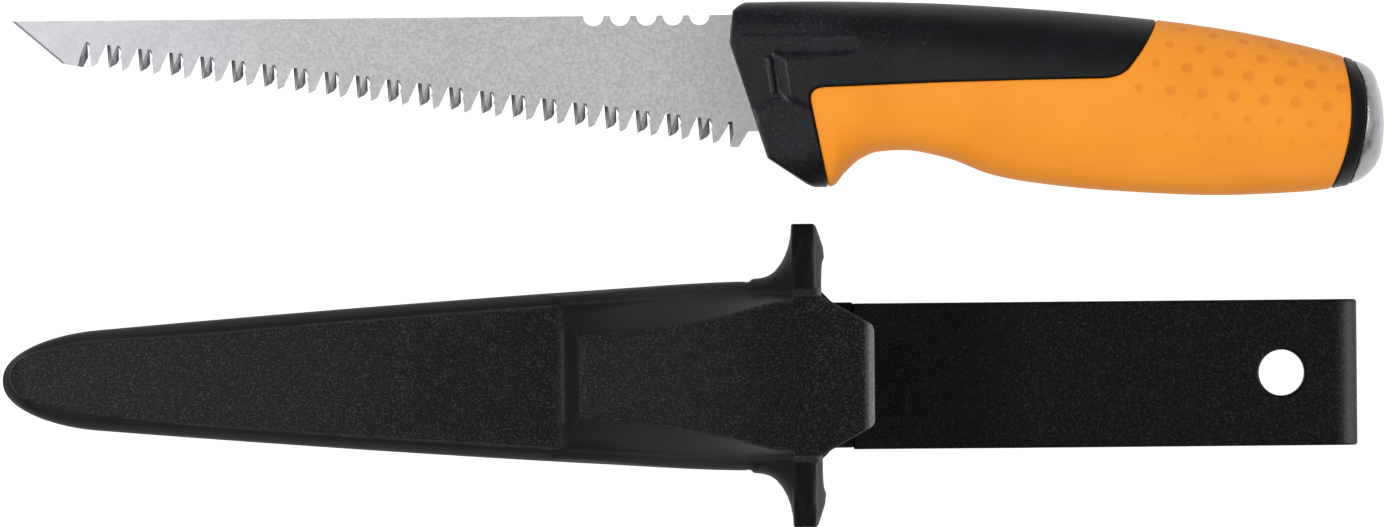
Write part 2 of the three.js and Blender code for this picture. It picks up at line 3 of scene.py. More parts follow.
import bpy
import numpy as np
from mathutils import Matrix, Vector


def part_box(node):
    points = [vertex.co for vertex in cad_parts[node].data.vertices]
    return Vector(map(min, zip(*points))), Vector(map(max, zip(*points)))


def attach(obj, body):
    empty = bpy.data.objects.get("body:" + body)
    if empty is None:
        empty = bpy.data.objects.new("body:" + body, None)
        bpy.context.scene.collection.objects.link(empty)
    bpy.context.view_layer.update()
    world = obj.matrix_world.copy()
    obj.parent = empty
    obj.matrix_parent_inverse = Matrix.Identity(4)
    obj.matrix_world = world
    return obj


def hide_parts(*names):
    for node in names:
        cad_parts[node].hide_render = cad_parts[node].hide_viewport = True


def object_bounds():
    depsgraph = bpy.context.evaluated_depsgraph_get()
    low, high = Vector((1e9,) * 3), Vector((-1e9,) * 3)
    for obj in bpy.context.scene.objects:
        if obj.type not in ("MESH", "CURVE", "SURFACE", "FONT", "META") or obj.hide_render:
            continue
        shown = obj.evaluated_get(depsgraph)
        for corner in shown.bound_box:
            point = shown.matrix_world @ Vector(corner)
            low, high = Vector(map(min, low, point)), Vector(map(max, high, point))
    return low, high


# Looks of a drywall saw and its belt sheath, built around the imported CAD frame.
# Shapes are fields in millimetres, negative inside, each in its own half of the
# set: the saw's origin is where the blade's spine enters the handle, the sheath's
# is on its axis at the near edge of the mouth flange, on the floor.

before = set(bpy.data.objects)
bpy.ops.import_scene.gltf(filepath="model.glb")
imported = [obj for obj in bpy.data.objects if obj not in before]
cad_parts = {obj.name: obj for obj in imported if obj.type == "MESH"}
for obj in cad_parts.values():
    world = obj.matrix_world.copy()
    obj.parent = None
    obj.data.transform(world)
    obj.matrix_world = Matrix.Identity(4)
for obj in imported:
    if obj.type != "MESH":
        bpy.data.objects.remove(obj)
cad_low, cad_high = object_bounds()

MM = 0.001
COARSER = 1.0   # grid steps while trying things

# ------------------------------------------------------------------ dimensions

GAP = 0.08                    # seam between pieces that touch
FAR = 200.0                   # past the end of every piece
HIDDEN_DEPTH_GRIP = 1.3       # surface deeper than this is never seen, so it is coarser
HIDDEN_DEPTH_SHEATH = 1.2
CLOSED_TO_X = -14             # the sheath's cavity can't be looked into before here

BLADE_REACH = 147.2           # from the handle to the blade's tip
BLADE_HALF = 0.75
SHEATH_REACH = 162.0          # from the flange to the sheath's tip

HANDLE_TOP = [
    (-1, 2.45), (14, 2.57), (37, 2.1), (56, 1), (83.5, -1.5), (102, -4.15),
    (120, -8.2), (125, -9.7), (129, -11.1), (135, -13.6),
]
HANDLE_BOTTOM = [
    (-1, -35.4), (16, -35.4), (19.3, -35.4), (20.6, -35), (22.5, -32.8), (26, -29.7),
    (29.5, -28.3), (34.5, -28), (43.3, -29.6), (52.5, -33.1), (60, -34.7), (77, -36.65),
    (100, -37.8), (117, -37.2), (126, -35.9), (135, -33.0),
]
HANDLE_HALF = [
    (-1, 13.9), (17, 13.9), (36, 12.8), (60, 13.2), (92, 13.9), (112, 13.5),
    (125, 12.7), (135, 11.7),
]
BOLSTER_HALF = [(-1, 9.2), (7, 9.5), (13, 10.9), (20, 12.6), (27, 13.4), (36, 12.8)]
SQUARENESS = [(-1, 4.2), (16, 3.6), (40, 2.7), (90, 2.4), (135, 2.3)]
BOLSTER_FRONT = [(2.1, 2.5), (0.1, 0.8), (-0.6, -5.7), (7, -29.35), (15.95, -35.4)]
GRIP_WALL = 2.5
# the ring's two edges: X and Y of the crest, and the radius below and above it
RING_GRIP_ARC = (126.15, -20.5, 32, 42)
RING_CAP_ARC = (129.25, -19.5, 38, 16.5)
CAP_DOME = (106.1, -23.3, 27.0)       # centre and radius of the striking face
CAP_EDGE = (1.8, 4.5)          # softness of its edge, at the top and at the bottom
STUD_Y = -22.3
TANG_PINS = [(12, -11), (50, -14), (92, -18.5)]
TANG_CLEARANCE = 0.12
PIN_BORE = (2.7, 8.2)         # radius and half length
STUD_BORE = (2.7, 112.3, 131.4)       # radius, and from where to where along X
NUT_POCKET = (116, 2.3, 4.8)  # middle along X, half thickness, half side

# rows of dimples on the grip: first and last place, how many, diameter, sag
DIMPLE_ROWS = [
    ((92.2, -3.9), (122.8, -10.1), 6, 2.4),
    ((89.2, -6.9), (120.6, -12.0), 6, 2.4),
    ((86.4, -10.8), (124.2, -16.2), 7, 2.5),
    ((82.9, -15.6), (121.3, -19.8), 7, 2.4),
    ((92.1, -21.3), (124.3, -23.9), 6, 1.7),
    ((88.5, -25.5), (120.5, -27.6), 6, 1.3),
    ((91.1, -30.2), (110.4, -31.0), 4, 1.0),
]

# ------------------------------------------------------------------ the frame

blade_low, blade_high = (np.array(corner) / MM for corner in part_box("blade"))
SAW_ORIGIN = np.array([
    blade_low[0] + BLADE_REACH, blade_high[1], (blade_low[2] + blade_high[2]) / 2,
])
back_low, back_high = (np.array(corner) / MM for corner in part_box("sheath_back"))
SHEATH_ORIGIN = np.array([
    back_low[0] + SHEATH_REACH, (back_low[1] + back_high[1]) / 2, back_low[2],
])

# --------------------------------------------------------------- field algebra


def both(a, b, soft=0.0):
    """What two bodies share, its edge rounded over about a width of soft."""
    d = np.maximum(a, b)
    if np.any(soft):
        near = np.maximum(soft - np.abs(a - b), 0)
        d = d + near * near / (4 * soft)
    return d


def either(a, b, soft=0.0):
    return -both(-a, -b, soft)


def without(a, b, soft=0.0):
    return both(a, -b, soft)


def every(*fields, soft=0.0):
    d = fields[0]
    for other in fields[1:]:
        d = both(d, other, soft)
    return d


def step_up(t, start, end):
    """0 before start, 1 after end, smooth between."""
    s = np.clip((t - start) / (end - start), 0, 1)
    return s * s * (3 - 2 * s)


def curve_through(knots):
    """A smooth height over X through a few knots (monotone cubic)."""
    xs, ys = np.array(knots, float).T
    steps = np.diff(ys) / np.diff(xs)
    before, after = steps[:-1], steps[1:]
    same = before * after > 0
    inner = np.where(same, 2 * before * after / np.where(same, before + after, 1), 0)
    slopes = np.concatenate([steps[:1], inner, steps[-1:]])

    def height(x):
        i = np.clip(np.searchsorted(xs, x, side="right") - 1, 0, len(xs) - 2)
        span = xs[i + 1] - xs[i]
        t = np.clip((x - xs[i]) / span, 0, 1)
        rise = (2 * t**3 - 3 * t**2 + 1) * ys[i] + (3 * t**2 - 2 * t**3) * ys[i + 1]
        lean = (t**3 - 2 * t**2 + t) * slopes[i] + (t**3 - t**2) * slopes[i + 1]
        return rise + lean * span

    return height


def outline(points, x, y):
    """Signed distance in plan to a closed outline, negative inside."""
    x, y = np.broadcast_arrays(x, y)
    best = np.full(x.shape, 1e9)
    inside = np.zeros(x.shape, bool)
    for (ax, ay), (bx, by) in zip(points, points[1:] + points[:1]):
        ex, ey = bx - ax, by - ay
        px, py = x - ax, y - ay
        t = np.clip((px * ex + py * ey) / (ex * ex + ey * ey), 0, 1)
        best = np.minimum(best, (px - t * ex) ** 2 + (py - t * ey) ** 2)
        if ey:
            inside ^= ((ay > y) != (by > y)) & (px < ex * py / ey)
    return np.where(inside, -1, 1) * np.sqrt(best)


def plane(x, y, z, at, normal):
    """Signed distance to a plane, positive on the side its normal points to."""
    n = np.array(normal, float)
    n /= np.linalg.norm(n)
    return n[0] * (x - at[0]) + n[1] * (y - at[1]) + n[2] * (z - at[2])


def quadratic(start, control, end, count):
    """Points along a quadratic curve, without its start."""
    points = []
    for i in range(1, count + 1):
        t = i / count
        points.append(tuple(
            (1 - t) ** 2 * s + 2 * t * (1 - t) * c + t * t * e
            for s, c, e in zip(start, control, end)
        ))
    return points


# --------------------------------------------------------------- field to mesh


def ticks(*stops):
    """Grid lines: ticks(0, 0.5, 10, 0.3, 20) goes to 10 by 0.5, then to 20 by 0.3."""
    lines = [np.array([stops[0]], float)]
    for i in range(1, len(stops) - 1, 2):
        start, step, end = stops[i - 1], stops[i] * COARSER, stops[i + 1]
        count = max(int(math.ceil((end - start) / step)), 1)
        lines.append(np.linspace(start, end, count + 1)[1:])
    return np.concatenate(lines)


def in_chunks(field, points, size=40000):
    return np.concatenate([
        field(*points[i:i + size].T) for i in range(0, len(points), size)
    ])


def gradient(field, points, reach=0.02):
    found = np.empty_like(points)
    for axis in range(3):
        shift = np.zeros(3)
        shift[axis] = reach
        ahead = in_chunks(field, points + shift)
        found[:, axis] = (ahead - in_chunks(field, points - shift)) / (2 * reach)
    return found


def net(field, xs, ys, zs, slab=8):
    """Surface net of a field on a grid: one vertex in each cell the surface crosses."""
    values = np.empty((len(xs), len(ys), len(zs)))
    for i in range(0, len(xs), slab):
        values[i:i + slab] = field(
            xs[i:i + slab, None, None], ys[None, :, None], zs[None, None, :],
        )
    inside = values < 0
    count = np.zeros(tuple(n - 1 for n in inside.shape), np.int8)
    corners = [(i, j, k) for i in (0, 1) for j in (0, 1) for k in (0, 1)]
    nx, ny, nz = count.shape
    for i, j, k in corners:
        count += inside[i:nx + i, j:ny + j, k:nz + k]
    cells = np.argwhere((count > 0) & (count < 8))
    index = np.full(count.shape, -1, np.int64)
    index[tuple(cells.T)] = np.arange(len(cells))

    lines = (xs, ys, zs)
    total = np.zeros((len(cells), 3))
    crossings = np.zeros(len(cells))
    for axis in range(3):
        for a in (0, 1):
            for b in (0, 1):
                first = cells.copy()
                first[:, (axis + 1) % 3] += a
                first[:, (axis + 2) % 3] += b
                second = first.copy()
                second[:, axis] += 1
                v0, v1 = values[tuple(first.T)], values[tuple(second.T)]
                crossed = (v0 < 0) != (v1 < 0)
                t = np.where(crossed, v0 / np.where(crossed, v0 - v1, 1), 0)
                p0 = np.stack([lines[d][first[:, d]] for d in range(3)], 1)
                p1 = np.stack([lines[d][second[:, d]] for d in range(3)], 1)
                total += crossed[:, None] * (p0 + t[:, None] * (p1 - p0))
                crossings += crossed
    points = total / crossings[:, None]

    quads = []
    for axis in range(3):
        u, v = (axis + 1) % 3, (axis + 2) % 3
        low = [slice(1, -1)] * 3
        low[axis] = slice(0, -1)
        high = list(low)
        high[axis] = slice(1, None)
        first, second = inside[tuple(low)], inside[tuple(high)]
        at = np.argwhere(first != second)
        leaving = first[tuple(at.T)]
        for d in (u, v):
            at[:, d] += 1
        ring = []
        for du, dv in ((0, 0), (1, 0), (1, 1), (0, 1)):
            cell = at.copy()
            cell[:, u] -= du
            cell[:, v] -= dv
            ring.append(index[tuple(cell.T)])
        quad = np.stack(ring, 1)
        quad[~leaving] = quad[~leaving, ::-1]
        quads.append(quad)
    return points, np.concatenate(quads), cells


def settle(field, points, rounds=3, limit=0.25):
    """Moves points along the field's slope onto its surface."""
    for _ in range(rounds):
        slope = gradient(field, points)
        steep = np.maximum((slope**2).sum(1), 0.05)
        move = -in_chunks(field, points)[:, None] * slope / steep[:, None]
        length = np.linalg.norm(move, axis=1, keepdims=True)
        points = points + move * np.minimum(1, limit / np.maximum(length, 1e-9))
    return points


def merge_hidden(points, quads, cells, hidden, by=3):
    """Joins the vertices of hidden surface in blocks of grid cells."""
    block = cells // by
    own = np.arange(len(points)) + int(block.max() + 1) ** 3
    size = block.max(0) + 1
    shared = (block[:, 0] * size[1] + block[:, 1]) * size[2] + block[:, 2]
    _, group = np.unique(np.where(hidden, shared, own), return_inverse=True)
    number = np.bincount(group)
    merged = np.stack([np.bincount(group, points[:, d]) / number for d in range(3)], 1)
    return merged, group[quads]


def faces_of(quads):
    """Quads as faces, without the corners that have become one."""
    same = quads == np.roll(quads, -1, axis=1)
    crossed = (quads[:, 0] == quads[:, 2]) | (quads[:, 1] == quads[:, 3])
    whole = quads[~same.any(1) & ~crossed]
    one = quads[(same.sum(1) == 1) & ~crossed]
    keep = ~(one == np.roll(one, -1, axis=1))
    return whole, one[keep].reshape(-1, 3)


def make_mesh(name, points, quads, triangles, origin):
    mesh = bpy.data.meshes.new(name)
    mesh.vertices.add(len(points))
    mesh.vertices.foreach_set("co", ((points + origin) * MM).astype(np.float32).ravel())
    loops = np.concatenate([quads.ravel(), triangles.ravel()]).astype(np.int32)
    mesh.loops.add(len(loops))
    mesh.loops.foreach_set("vertex_index", loops)
    starts = np.concatenate([
        np.arange(len(quads)) * 4, len(quads) * 4 + np.arange(len(triangles)) * 3,
    ]).astype(np.int32)
    mesh.polygons.add(len(starts))
    mesh.polygons.foreach_set("loop_start", starts)
    mesh.update(calc_edges=True)
    mesh.validate()
    mesh.shade_smooth()
    piece = bpy.data.objects.new(name, mesh)
    bpy.context.scene.collection.objects.link(piece)
    return piece


def grow_body(field, grid, hidden=None):
    """Points, quads and triangles of one closed body."""
    points, quads, cells = net(field, *grid)
    points = settle(field, points)
    if hidden is not None:
        points, quads = merge_hidden(points, quads, cells, hidden(*points.T))
    whole, triangles = faces_of(quads)
    return points, whole, triangles


def grow(name, origin, *bodies, marks=None):
    """One piece from one or more closed bodies, with marks for its material."""
    points, quads, triangles, count = [], [], [], 0
    for p, q, t in bodies:
        points.append(p)
        quads.append(q + count)
        triangles.append(t + count)
        count += len(p)
    piece = make_mesh(
        name, np.concatenate(points), np.concatenate(quads), np.concatenate(triangles), origin,
    )
    for key, value in (marks or {}).items():
        mark = piece.data.attributes.new(key, "FLOAT", "POINT")
        mark.data.foreach_set("value", value(*np.concatenate(points).T).astype(np.float32))
    print(f"{name}: {count} vertices")
    return piece


# ---------------------------------------------------------------------- handle

top_line = curve_through(HANDLE_TOP)
bottom_line = curve_through(HANDLE_BOTTOM)
handle_half = curve_through(HANDLE_HALF)
bolster_half = curve_through(BOLSTER_HALF)
squareness = curve_through(SQUARENESS)


def rounded_section(x, y, z, half):
    """A body whose section is a superellipse between the top and the bottom line."""
    middle = (top_line(x) + bottom_line(x)) / 2
    reach = (top_line(x) - bottom_line(x)) / 2
    power = squareness(x)
    v = np.abs(y - middle) / reach
    w = np.abs(z) / half
    size = np.maximum(v**power + w**power, 1e-9) ** (1 / power)
    slope = np.hypot((v / size) ** (power - 1) / reach, (w / size) ** (power - 1) / half)
    return (size - 1) / slope


def arc_behind(arc, x, y):
    """Distance behind a shallow arc across the handle."""
    crest_x, crest_y, below, above = arc
    off = y - crest_y
    radius = np.where(off < 0, below, above)
    edge = crest_x - off * off / (2 * radius)
    return (x - edge) / np.hypot(1, off / radius)


def grip_outline():
    """Where the soft grip lies: below a nearly straight line, then up over the back."""
    points = [(21.3, -45), (15.9, -18)]
    points += quadratic((15.9, -18), (15.3, -15), (19.2, -15), 6)
    points += [(26, -14.78), (34.2, -14.5), (44.4, -14.2), (60, -13.9), (75, -13.75)]
    points += quadratic((75, -13.75), (78.8, -13.7), (80.6, -12), 5)
    points += quadratic((80.6, -12), (85, -6.8), (86.6, -2), 6)
    points += [(89, 20), (FAR, 20), (FAR, -45)]
    return points


GRIP_OUTLINE = grip_outline()


def grip_region(x, y):
    return outline(GRIP_OUTLINE, x, y)


def dimple_places():
    """Centre and radius of the balls that press the dimples, for the near side."""
    balls = []
    for (x0, y0), (x1, y1), count, width in DIMPLE_ROWS:
        for i in range(count):
            t = i / (count - 1)
            x = x0 + (x1 - x0) * t
            y = y0 + (y1 - y0) * t
            fade = 0.55 + 0.45 * min(1, (i + 0.6) / 1.8)
            balls.append((x, y, width * fade))
    return balls


def place_ball(x, y, width):
    """A ball that leaves a dimple of that width on the grip at a place in plan."""
    middle = (top_line(x) + bottom_line(x)) / 2
    reach = (top_line(x) - bottom_line(x)) / 2
    power = squareness(x)
    v = abs(y - middle) / reach
    z = handle_half(x) * (1 - v**power) ** (1 / power)
    at = np.array([[x, y, z]])
    slope = gradient(lambda a, b, c: rounded_section(a, b, c, handle_half(a)), at)[0]
    normal = slope / np.linalg.norm(slope)
    depth = 0.075 * width
    radius = (width**2 / 4 + depth**2) / (2 * depth)
    return at[0] + normal * (radius - depth), radius


DIMPLES = [place_ball(*place) for place in dimple_places()]
TOP_DIMPLES = [
    place_ball(x, top_line(x) - 1e-4, 2.3) for x in np.linspace(95.4, 119.5, 5)
]


def grip(x, y, z):
    form = rounded_section(x, y, z, handle_half(x))
    skin = form
    for (cx, cy, cz), radius in DIMPLES + TOP_DIMPLES:
        if np.min(x) > cx + 3 or np.max(x) < cx - 3:
            continue
        ball = np.sqrt((x - cx) ** 2 + (y - cy) ** 2 + (np.abs(z) - cz) ** 2) - radius
        skin = without(skin, ball, 0.15)
    skin = both(skin, grip_region(x, y) + GAP / 2, 0.5)
    skin = both(skin, arc_behind(RING_GRIP_ARC, x, y) + GAP / 2, 0.5)
    return without(skin, form + GRIP_WALL, 0.3)


def dimple_shade(x, y, z):
    """Painted shade in the dimples: 1 on the floor of a dimple, 0 on the skin around it, fainter
    towards the bottom of the grip.
    """
    found = np.zeros(len(x))
    for (cx, cy, cz), radius in DIMPLES + TOP_DIMPLES:
        ball = np.sqrt((x - cx) ** 2 + (y - cy) ** 2 + (np.abs(z) - cz) ** 2) - radius
        found = np.maximum(found, 1 - step_up(ball, 0.01, 0.08))
    return found * (0.35 + 0.65 * step_up(y, -32, -14))


def bolster_form(x, y, z):
    """The hard core's outside: a thin front that steps up to a thick body."""
    depth = np.abs(z)
    half = bolster_half(x)
    body = rounded_section(x, y, z, half)
    # flat side below the rounded top, with a faint crease along its upper edge
    fade = 0.5 * step_up(x, 3, 27)
    side = every(depth - (half - 0.18 - fade), y + 4.3, -26 - y, 1.8 - x, soft=0.6)
    body = either(body, side, 0.3)
    # pad: a steep facet in front, a small step along its upper edge
    thick = rounded_section(x, y, z, handle_half(x))
    facet = plane(x, y, depth, (8.3, -9.05, 9.6), (-0.859, -0.122, 0.498))
    upper = plane(x, y, depth, (10.6, -9.5, 14), (-0.09, 1, 0.43))
    lower = plane(x, y, depth, (12.5, -17.9, 13), (-0.45, -0.89, 0.2))
    pad = both(every(thick, facet, upper, soft=0.4), lower, 1.0)
    # lower cheek: a gentle rise behind the front edge
    rise = plane(x, y, depth, (1.2, -20, 9.5), (-0.31, 0, 1))
    brow = plane(x, y, depth, (9.1, -16.3, 9.6), (-0.5, 0.72, 0.42))
    cheek = both(both(thick, rise, 3.0), brow, 2.2)
    body = either(either(body, pad, 0.4), cheek, 0.6)
    # narrow rib at the foot of the facet
    rib = every(
        plane(x, y, depth, (8.05, -8.9, 9.9), (1, 0.142, 0.35)),
        plane(x, y, depth, (6.9, -8.9, 9.9), (-1, -0.142, 0.35)),
        depth - 10.2, y + 8.8, -16.5 - y, soft=0.4,
    )
    body = np.maximum(either(body, rib, 0.3), thick)
    whole = step_up(x, 27, 31)
    return body * (1 - whole) + thick * whole


def bolster_cut(x, y, z):
    """The form trimmed to the bolster's slanted front."""
    points = BOLSTER_FRONT + [(15.95, -60), (FAR, -60), (FAR, 20), (2.1, 20)]
    front = outline([(2.1, 20)] + points[:-1], x, y)
    return both(bolster_form(x, y, z), front, 0.8)


def tang_space(x, y, z):
    """Room for the blade's root and tang."""
    space = [
        (-6, 0.2), (24.3, 0.2), (31, -5.9), (108.3, -15.2), (108.3, -25.8),
        (30, -18.1), (22.3, -23.9), (3.2, -24.2), (-6, -24.2),
    ]
    return both(outline(space, x, y), np.abs(z) - (BLADE_HALF + TANG_CLEARANCE))


def fixing_space(x, y, z):
    """Room for the tang pins, and for the striking cap's stud and nut."""
    space = None
    radius, half = PIN_BORE
    for px, py in TANG_PINS:
        pin = both(np.hypot(x - px, y - py) - radius, np.abs(z) - half)
        space = pin if space is None else either(space, pin)
    radius, start, end = STUD_BORE
    bore = every(np.hypot(y - STUD_Y, z) - radius, start - x, x - end)
    middle, thick, side = NUT_POCKET
    nut = every(np.abs(x - middle) - thick, np.abs(y - STUD_Y) - side, np.abs(z) - side)
    return either(space, either(bore, nut))


def core_shell(x, y, z):
    """The visible part of the hard core: bolster and spine."""
    shell = without(bolster_cut(x, y, z), grip_region(x, y) - GAP / 2, 0.5)
    shell = both(shell, arc_behind(RING_GRIP_ARC, x, y) + GAP / 2)
    shell = without(shell, either(tang_space(x, y, z), fixing_space(x, y, z)), 0.15)
    return both(shell, GAP / 4 - z, 0.2)


def core_plug(x, y, z):
    """The part of the core that fills the soft grip."""
    form = rounded_section(x, y, z, handle_half(x)) + GRIP_WALL + GAP
    plug = both(form, grip_region(x, y) + GAP / 2)
    plug = both(plug, arc_behind(RING_GRIP_ARC, x, y) + GAP / 2)
    plug = without(plug, either(tang_space(x, y, z), fixing_space(x, y, z)))
    return both(plug, GAP / 4 - z)


def handle_end(x, y, z):
    """The handle's form closed by the domed striking face."""
    form = rounded_section(x, y, z, handle_half(x))
    cx, cy, radius = CAP_DOME
    dome = np.sqrt((x - cx) ** 2 + (y - cy) ** 2 + z**2) - radius
    upper, lower = CAP_EDGE
    edge = upper + (lower - upper) * step_up(-y, 16, 32) + 7 * (z / 14) ** 2
    return both(form, dome, edge)


def butt_ring(x, y, z):
    ring = both(handle_end(x, y, z), GAP / 2 - arc_behind(RING_GRIP_ARC, x, y), 0.3)
    ring = both(ring, arc_behind(RING_CAP_ARC, x, y) + GAP / 2, 0.3)
    return without(ring, fixing_space(x, y, z))


def strike_cap(x, y, z):
    cap = both(handle_end(x, y, z) + 0.06, GAP / 2 - arc_behind(RING_CAP_ARC, x, y), 0.4)
    return without(cap, fixing_space(x, y, z))


def mirrored(body):
    points, quads, triangles = body
    return points * np.array([1, 1, -1]), quads[:, ::-1], triangles[:, ::-1]


def make_handle():
    shell_grid = (
        ticks(-1.6, 0.33, 30, 0.6, 84, 0.4, 91), ticks(-36.4, 0.36, 3.6), ticks(-0.5, 0.36, 15),
    )
    plug_grid = (ticks(15, 1.0, 127), ticks(-38, 1.0, 3), ticks(-0.9, 0.9, 15))
    shell = grow_body(core_shell, shell_grid)
    plug = grow_body(core_plug, plug_grid)
    core_left = grow("handle_core_left", SAW_ORIGIN, shell, plug)
    core_right = grow("handle_core_right", SAW_ORIGIN, mirrored(shell), mirrored(plug))

    def inner(x, y, z):
        return rounded_section(x, y, z, handle_half(x)) < -HIDDEN_DEPTH_GRIP

    grip_grid = (
        ticks(15.4, 0.55, 80, 0.36, 126.6), ticks(-38.6, 0.44, 1), ticks(-14.8, 0.44, 14.8),
    )
    # the grip carries the painted shade of its dimples as a mark
    grip_piece = grow(
        "soft_grip", SAW_ORIGIN, grow_body(grip, grip_grid, inner), marks={"dimple": dimple_shade},
    )
    end_grid = (ticks(119.5, 0.3, 134), ticks(-38.5, 0.33, -5), ticks(-14, 0.33, 14))
    ring = grow("handle_ring", SAW_ORIGIN, grow_body(butt_ring, end_grid))
    cap = grow("striking_cap", SAW_ORIGIN, grow_body(strike_cap, end_grid))
    return {
        "core_left": core_left, "core_right": core_right, "grip_sleeve": grip_piece,
        "butt_ring": ring, "strike_cap": cap,
    }


# ---------------------------------------------------------------------- sheath

TIP_X = -162.0
TIP_LENGTH = 20.2
TIP_END = TIP_X + TIP_LENGTH
TIP_POWER = 2.2
TIP_RISE = 0.35
MOUTH_X = 4.6
BODY_HALF_WIDTH = [
    (TIP_X, 8.65), (TIP_END, 10.35), (-121, 12.05), (-80, 15.15), (-40, 17.8), (-11, 19.3),
    (40, 19.8),
]
BODY_HEIGHT = [(TIP_X, 6.5), (-156, 9), (-47.3, 15.5), (40, 17.6)]
RIM_WIDTH = 2.75
RIM_ROUND = 3.6
PLATEAU = 0.35
BOSS_HALF_WIDTH = [(-43.5, 7.9), (-32.8, 9), (-15.5, 12), (-0.4, 15.5), (40, 15.6)]
BOSS_HEIGHT = [(-43.5, 18.6), (4, 26.4), (40, 26.4)]
BOSS_FOOT_X = -47.3
WALL = 2.2
MOUTH_FLOOR = 4.4
TONGUE = [
    (-30, 16.6), (5, 16.6), (6.1, 16.0), (7.4, 15.25), (15.4, 10.8), (16.2, 10.1), (16.5, 9.3),
]
WING_TIP_Y = 31.0
WING_FILLET = (7.8, 11.6)
WING_FOOT_X = -8.0
FLANGE_HEIGHT = 19.5
FLANGE_BACK = 5.7
WING_FRONT = -0.3
WING_END_Y = -30.98
WING_BACK = [
    (5.7, 19.8), (6.0, 23), (6.4, 24.2), (6.2, 26.2), (5.4, 28.7), (4.75, 30.5), (4.3, 31),
]
ROOT_TAB_HALF = 14.9
HINGE_X = 12.2
PARTING_TIP, PARTING_MOUTH = 4.6, 14.4    # height where the shells meet, at either end

body_width = curve_through(BODY_HALF_WIDTH)
body_height = curve_through(BODY_HEIGHT)
boss_width = curve_through(BOSS_HALF_WIDTH)
boss_height = curve_through(BOSS_HEIGHT)


def from_axis(x, y):
    """Sideways distance from the sheath's axis, which leans slightly."""
    return y - TIP_RISE * (MOUTH_X - np.minimum(x, MOUTH_X)) / (MOUTH_X - TIP_X)


def body_plan(x, y):
    """Distance from the body's outline: a taper that ends in a superellipse."""
    across = np.abs(from_axis(x, y))
    half = body_width(x)
    run = np.maximum(TIP_END - x, 0) / TIP_LENGTH
    size = np.maximum(run**TIP_POWER + (across / half) ** TIP_POWER, 1e-9) ** (1 / TIP_POWER)
    steep = TIP_POWER - 1
    slope = np.hypot((run / size) ** steep / TIP_LENGTH, (across / half / size) ** steep / half)
    return np.where(x < TIP_END, (size - 1) / np.maximum(slope, 1e-6), across - half)


def rim(x, y):
    """Distance from the edge of the raised front face, set off the axis at the tip."""
    width = RIM_WIDTH - 1.2 * step_up(-x, 151, 160)
    return body_plan(x, y - 0.75 * step_up(-x, 118, 152)) + width


def boss(x, y, z):
    """The raised panel in front of the mouth, with sloping flanks and a ramp."""
    across = np.abs(from_axis(x, y))
    edge, top = boss_width(x), boss_height(x)
    foot, low = body_width(x) - RIM_WIDTH, body_height(x)
    down, out = top - low, foot - edge
    flank = ((across - edge) * down + (z - top) * out) / np.hypot(down, out)
    ramp = plane(x, y, z, (BOSS_FOOT_X, 0, 15.5), (-3.1, 0, 3.8))
    return both(both(z - top, flank, 0.7), ramp, 0.6)


def sheath_outside(x, y, z):
    """Body, boss and tip as one closed form that runs on past the mouth."""
    plan = body_plan(x, y)
    top = body_height(x)
    body = both(plan, z - (top - PLATEAU), RIM_ROUND)
    plateau = both(rim(x, y), z - top, 0.35)
    body = either(body, plateau, 0.25)
    body = either(body, both(boss(x, y, z), plan + 0.8), 0.8)
    return both(body, -z, 1.8)


def cavity(x, y, z):
    plan = body_plan(x, y)
    inside = both(plan + WALL, z - (body_height(x) - WALL), 1.0)
    inside = either(inside, both(boss(x, y, z) + WALL, plan + WALL + 0.4))
    floor = WALL + (MOUTH_FLOOR - WALL) * np.clip((x - TIP_X) / (MOUTH_X - TIP_X), 0, 1)
    return both(inside, floor - z, 0.8)


def flange_outline():
    """The flange in plan: swept out from the body into a wing on each side."""
    reach, rise = WING_FILLET
    side = [(FLANGE_BACK, 0)] + WING_BACK
    for i in range(9):
        angle = math.pi / 2 * i / 8
        side.append((
            WING_FOOT_X + reach * math.cos(angle), WING_TIP_Y - rise * math.sin(angle),
        ))
    side.append((WING_FOOT_X, 0))
    return side + [(x, -y) for x, y in reversed(side[1:-1])]


FLANGE_OUTLINE = flange_outline()


def flange(x, y, z):
    """An upright flange, with a web that falls away from it to the body's rim."""
    plan = outline(FLANGE_OUTLINE, x, y)
    back = plane(x, y, z, (MOUTH_X, 0, FLANGE_HEIGHT), (6.5, 0, 2.6))
    upright = every(plan, z - FLANGE_HEIGHT, WING_FRONT - x, soft=0.5)
    run = np.clip((x - WING_FOOT_X) / (WING_FRONT - WING_FOOT_X), 0, 1.05)
    low = body_height(WING_FOOT_X) - PLATEAU
    web = both(plan, (z - low - (FLANGE_HEIGHT - low) * run * run) / 1.25, RIM_ROUND)
    return both(both(either(upright, web, 0.2), back, 0.8), -z, 0.8)


def tongue(x, y, z):
    near = [(px, -py) for px, py in reversed(TONGUE)]
    plan = outline(TONGUE + near, x, y)
    top = boss_height(x)
    end = TONGUE[-1][0]
    chamfer = plane(x, y, z, (end - 2.1, 0, BOSS_HEIGHT[1][1]), (0.62, 0, 1))
    plate = both(both(plan, z - top, 0.5), top - WALL - z, 0.4)
    return every(plate, chamfer, -x, soft=0.3)


def root_tab(x, y, z):
    half = ROOT_TAB_HALF + 2.2 * step_up(-x, -8.5, -5.5)
    tab = every(np.abs(y) - half, -2 - x, z - MOUTH_FLOOR, -z, soft=0.6)
    return both(tab, x - HINGE_X, 0.15)


def edge_nicks(x, y, z):
    """The small nick in the outline just before each wing."""
    return np.hypot(x + 9.3, np.abs(from_axis(x, y)) - 20.0) - 0.8


